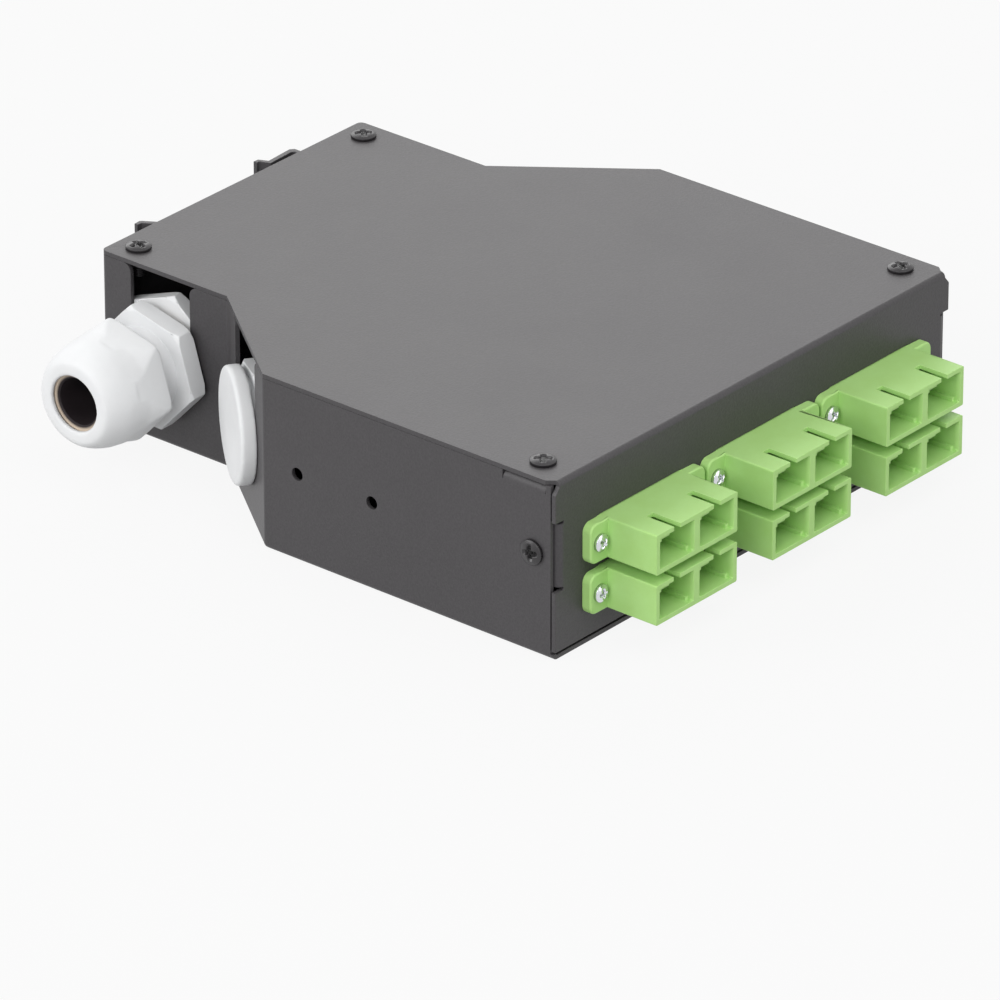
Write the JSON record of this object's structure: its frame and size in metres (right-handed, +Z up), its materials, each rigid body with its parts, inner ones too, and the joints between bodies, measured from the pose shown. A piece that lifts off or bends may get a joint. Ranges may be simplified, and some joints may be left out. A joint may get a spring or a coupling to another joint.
{
  "type": "rail-mounted fibre splice box",
  "caption": "Flat folded-sheet fibre splice box with duplex couplers on its front, a cable gland, a blanked entry and a sprung clip for a mounting rail.",
  "frame": {"origin": "centre of the housing's footprint on its underside", "axes": "+Z up through the lid, -Y towards the coupler front, +Y towards the rail clip, -X towards the gland"},
  "size_m": [0.1347, 0.1639, 0.0419],
  "materials": {
    "housing_paint": "fine-textured charcoal powder coat",
    "coupler_plastic": "satin apple-green moulding",
    "gland_nylon": "satin white nylon",
    "seal_rubber": "matt",
    "zinc_plate": "satin zinc",
    "spring_steel": "drawn wire",
    "black_screw": "black oxide",
    "bright_screw": "bright zinc",
    "tray_plastic": "satin pale grey",
    "comb_plastic": "satin white",
    "holder_plastic": "satin green",
    "sleeve_ceramic": "polished white ceramic"
  },
  "bodies": {
    "box": {"base_shell": "housing_paint", "cover": "housing_paint", "gland_body": "gland_nylon", "gland_seal": "seal_rubber", "gland_gasket": "seal_rubber", "gland_lock_nut": "gland_nylon", "blank_plug": "gland_nylon", "blank_plug_nut": "gland_nylon", "rail_bracket": "housing_paint", "rail_spring": "spring_steel", "rail_rivets": "zinc_plate", "lid_screws": "black_screw", "side_screws": "black_screw", "coupler_screws": "bright_screw", "coupler_nuts": "bright_screw", "splice_tray": "tray_plastic", "splice_comb": "comb_plastic", "tray_posts": "zinc_plate", "tray_screws": "bright_screw", "cable_anchor": "zinc_plate", "anchor_rivet": "zinc_plate", "coupler_1_housing": "coupler_plastic", "coupler_1_holders": "holder_plastic", "coupler_1_sleeves": "sleeve_ceramic", "coupler_2_housing": "coupler_plastic", "coupler_2_holders": "holder_plastic", "coupler_2_sleeves": "sleeve_ceramic", "coupler_3_housing": "coupler_plastic", "coupler_3_holders": "holder_plastic", "coupler_3_sleeves": "sleeve_ceramic", "coupler_4_housing": "coupler_plastic", "coupler_4_holders": "holder_plastic", "coupler_4_sleeves": "sleeve_ceramic", "coupler_5_housing": "coupler_plastic", "coupler_5_holders": "holder_plastic", "coupler_5_sleeves": "sleeve_ceramic", "coupler_6_housing": "coupler_plastic", "coupler_6_holders": "holder_plastic", "coupler_6_sleeves": "sleeve_ceramic"},
    "latch": {"rail_latch": "housing_paint"},
    "clamp_nut": {"gland_dome_nut": "gland_nylon"}
  },
  "joints": [
    {"name": "rail_latch_slide", "type": "slide", "parent": "box", "child": "latch", "axis": [-1, 0, 0], "range_m": [0, 0.004], "stiffness_N_per_m": 2000, "springref_m": -0.003, "deforming": ["rail_spring"]},
    {"name": "gland_nut_turn", "type": "hinge", "parent": "box", "child": "clamp_nut", "pos_m": [-0.0602, 0.0546, 0.0195], "axis": [-1, 0, 0], "continuous": true}
  ]
}
